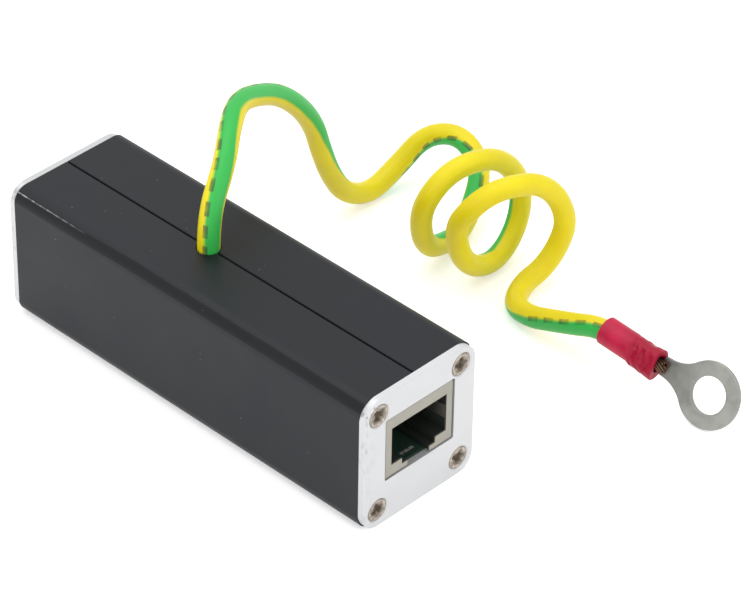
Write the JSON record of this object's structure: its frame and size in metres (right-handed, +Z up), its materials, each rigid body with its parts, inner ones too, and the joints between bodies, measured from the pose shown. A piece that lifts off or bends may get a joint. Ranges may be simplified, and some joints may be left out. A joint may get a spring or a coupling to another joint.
{
  "type": "ethernet surge protector",
  "caption": "Square black aluminium box with a shielded data socket at each end and a bent earth wire with a ring terminal.",
  "frame": {"origin": "centre of the box's underside", "axes": "+Z up, +Y along the box, front socket facing -Y, earth wire lying on the +X side"},
  "size_m": [0.0847, 0.1129, 0.0446],
  "materials": {
    "black_anodised": "satin black anodised extrusion",
    "silver_anodised": "fine satin silver anodised plate",
    "screw_nickel": "worn nickel-plated screw heads",
    "shield_tin": "satin tin-plated brass sheet",
    "insert_plastic": "dark moulded thermoplastic",
    "contact_gold": "gold-plated spring wire",
    "board_laminate": "green solder-masked laminate",
    "arrester_ceramic": "pale ceramic tube",
    "lead_tin": "tinned leads and solder",
    "diode_resin": "black moulding resin",
    "wire_insulation": "smooth PVC, yellow with a green stripe",
    "bare_copper": "bare stranded copper",
    "sleeve_red": "soft red PVC sleeve",
    "terminal_tin": "dull tinned copper"
  },
  "bodies": {
    "root": {"housing_left": "black_anodised", "housing_right": "black_anodised", "front_plate": "silver_anodised", "rear_plate": "silver_anodised", "front_screws": "screw_nickel", "rear_screws": "screw_nickel", "front_jack_shield": "shield_tin", "rear_jack_shield": "shield_tin", "front_jack_insert": "insert_plastic", "rear_jack_insert": "insert_plastic", "front_jack_contacts": "contact_gold", "rear_jack_contacts": "contact_gold", "circuit_board": "board_laminate", "arrester_tubes": "arrester_ceramic", "arrester_electrodes": "lead_tin", "diode_bodies": "diode_resin", "diode_feet": "lead_tin", "earth_wire_inside": "wire_insulation", "earth_wire_core": "bare_copper", "earth_solder": "lead_tin", "earth_wire_lead": "wire_insulation", "earth_wire_coil": "wire_insulation", "earth_wire_tail": "wire_insulation", "terminal_sleeve": "sleeve_red", "wire_strands": "bare_copper", "ring_terminal": "terminal_tin"}
  },
  "joints": []
}
